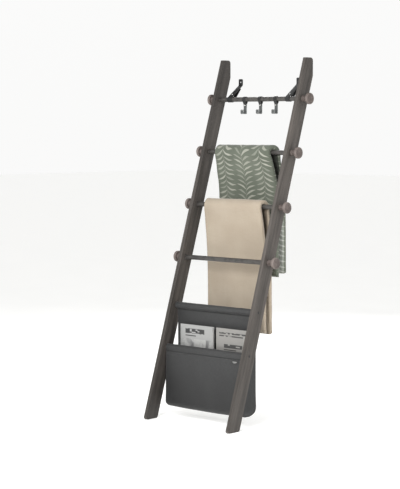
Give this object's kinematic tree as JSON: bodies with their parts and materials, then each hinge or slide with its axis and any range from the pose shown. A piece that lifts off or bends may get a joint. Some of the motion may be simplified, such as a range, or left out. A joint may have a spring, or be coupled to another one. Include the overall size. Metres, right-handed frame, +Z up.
{
  "type": "quilt rack",
  "caption": "Leaning wooden ladder rack with steel rungs, turned pegs, small hooks, wall straps, a hanging magazine bag, and a folded quilt and throw over its rungs.",
  "frame": {"origin": "on the floor, at the middle of the footprint from the feet's front to the wall plane, midway between the rails", "axes": "+X to the right of someone facing the rack, +Y towards the wall it leans on, +Z up"},
  "size_m": [0.6194, 0.5738, 1.65],
  "materials": {
    "walnut": "dark grey-brown stain, satin",
    "knob_wood": "dark grey-brown stain, satin",
    "rung_steel": "dark grey, satin",
    "black_steel": "black, satin",
    "hook_steel": "grey, satin",
    "bright_steel": "bright zinc",
    "bag_fabric": "charcoal woven",
    "label": "woven tag",
    "quilt_cloth": "sage green with off-white leaf sprays",
    "throw_cloth": "beige, brushed",
    "paper": "coated paper"
  },
  "bodies": {
    "root": {"left_rail": "walnut", "right_rail": "walnut", "rung_1": "rung_steel", "rung_2": "rung_steel", "rung_3": "rung_steel", "rung_4": "rung_steel", "bag_bar_upper": "rung_steel", "bag_bar_lower": "rung_steel", "left_knob_1": "knob_wood", "left_knob_2": "knob_wood", "left_knob_3": "knob_wood", "left_knob_4": "knob_wood", "left_insert_1": "bright_steel", "left_insert_2": "bright_steel", "left_insert_3": "bright_steel", "left_insert_4": "bright_steel", "left_stud_1": "bright_steel", "left_stud_2": "bright_steel", "left_stud_3": "bright_steel", "left_stud_4": "bright_steel", "left_bolt_upper": "black_steel", "left_bolt_lower": "black_steel", "right_knob_1": "knob_wood", "right_knob_2": "knob_wood", "right_knob_3": "knob_wood", "right_knob_4": "knob_wood", "right_insert_1": "bright_steel", "right_insert_2": "bright_steel", "right_insert_3": "bright_steel", "right_insert_4": "bright_steel", "right_stud_1": "bright_steel", "right_stud_2": "bright_steel", "right_stud_3": "bright_steel", "right_stud_4": "bright_steel", "right_bolt_upper": "black_steel", "right_bolt_lower": "black_steel", "bag_panel": "bag_fabric", "bag_side_left": "bag_fabric", "bag_side_right": "bag_fabric", "bag_label": "label"},
    "hook_1": {"hook_band_1": "black_steel", "hook_blade_1": "hook_steel", "hook_screw_1": "bright_steel"},
    "hook_2": {"hook_band_2": "black_steel", "hook_blade_2": "hook_steel", "hook_screw_2": "bright_steel"},
    "hook_3": {"hook_band_3": "black_steel", "hook_blade_3": "hook_steel", "hook_screw_3": "bright_steel"},
    "left_wall_bracket": {"left_bracket": "black_steel", "left_bracket_screw": "bright_steel"},
    "right_wall_bracket": {"right_bracket": "black_steel", "right_bracket_screw": "bright_steel"},
    "quilt_fold": {"quilt": "quilt_cloth"},
    "throw_fold": {"throw_blanket": "throw_cloth"},
    "left_magazine": {"magazine_left": "paper"},
    "right_magazine": {"magazine_right": "paper"}
  },
  "joints": [
    {"name": "hook_1_swing", "type": "hinge", "parent": "root", "child": "hook_1", "pos_m": [-0.087, 0.21518, 1.463], "axis": [1, 0, 0], "range_deg": [-180, 75]},
    {"name": "hook_2_swing", "type": "hinge", "parent": "root", "child": "hook_2", "pos_m": [0.008, 0.21518, 1.463], "axis": [1, 0, 0], "range_deg": [-180, 75]},
    {"name": "hook_3_swing", "type": "hinge", "parent": "root", "child": "hook_3", "pos_m": [0.103, 0.21518, 1.463], "axis": [1, 0, 0], "range_deg": [-180, 75]},
    {"name": "left_bracket_turn", "type": "hinge", "parent": "root", "child": "left_wall_bracket", "pos_m": [-0.178, 0.21518, 1.463], "axis": [1, 0, 0], "continuous": true},
    {"name": "right_bracket_turn", "type": "hinge", "parent": "root", "child": "right_wall_bracket", "pos_m": [0.178, 0.21518, 1.463], "axis": [1, 0, 0], "continuous": true},
    {"name": "quilt_shift", "type": "slide", "parent": "root", "child": "quilt_fold", "axis": [1, 0, 0], "range_m": [-0.062, 0.07]},
    {"name": "throw_shift", "type": "slide", "parent": "root", "child": "throw_fold", "axis": [1, 0, 0], "range_m": [-0.063, 0.068]},
    {"name": "left_magazine_lift", "type": "slide", "parent": "root", "child": "left_magazine", "axis": [0, 0, 1], "range_m": [0, 0.3]},
    {"name": "right_magazine_lift", "type": "slide", "parent": "root", "child": "right_magazine", "axis": [0, 0, 1], "range_m": [0, 0.3]}
  ]
}
